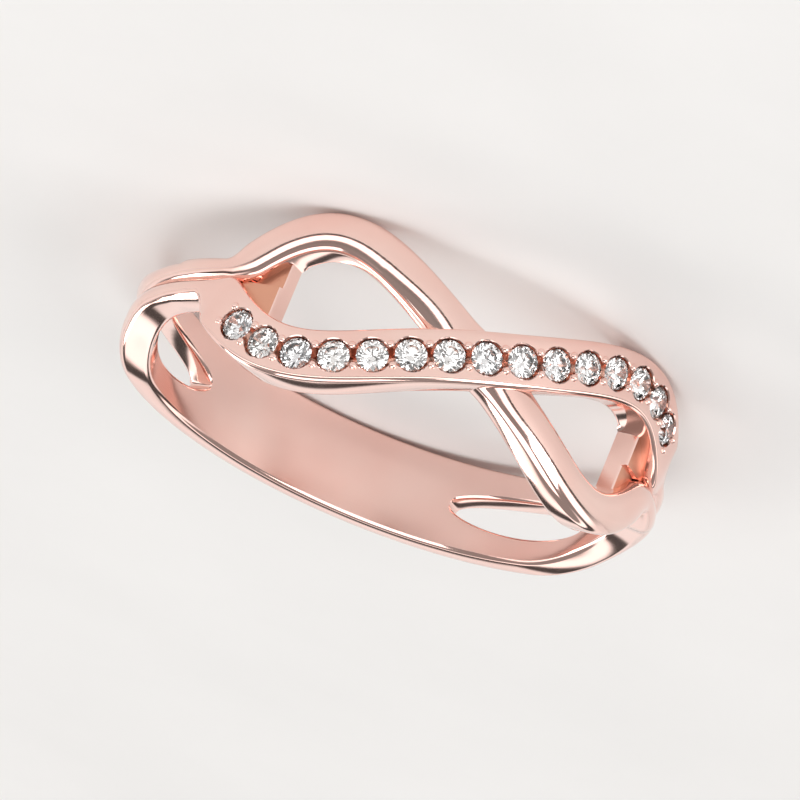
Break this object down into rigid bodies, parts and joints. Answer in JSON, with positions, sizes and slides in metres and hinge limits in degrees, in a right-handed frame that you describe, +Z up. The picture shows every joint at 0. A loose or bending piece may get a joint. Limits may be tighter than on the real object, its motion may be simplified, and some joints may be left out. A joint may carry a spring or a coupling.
{
  "type": "infinity ring",
  "caption": "Finger ring whose front splits into a figure of eight: a plain polished strand passes under a strand set with a row of small clear round stones.",
  "frame": {"origin": "on the surface that the ring lies on, below the middle of its box", "axes": "+Z up; the ring lies on its side with its finger hole close to upright, leaning 5.3 degrees about X, and its figure of eight faces -Y"},
  "size_m": [0.0194, 0.0196, 0.0064],
  "materials": {
    "rose_gold": "polished rose gold",
    "clear_stone": "faceted and polished"
  },
  "bodies": {
    "root": {"ring_body": "rose_gold", "stone_01": "clear_stone", "stone_02": "clear_stone", "stone_03": "clear_stone", "stone_04": "clear_stone", "stone_05": "clear_stone", "stone_06": "clear_stone", "stone_07": "clear_stone", "stone_08": "clear_stone", "stone_09": "clear_stone", "stone_10": "clear_stone", "stone_11": "clear_stone", "stone_12": "clear_stone", "stone_13": "clear_stone", "stone_14": "clear_stone", "stone_15": "clear_stone"}
  },
  "joints": []
}
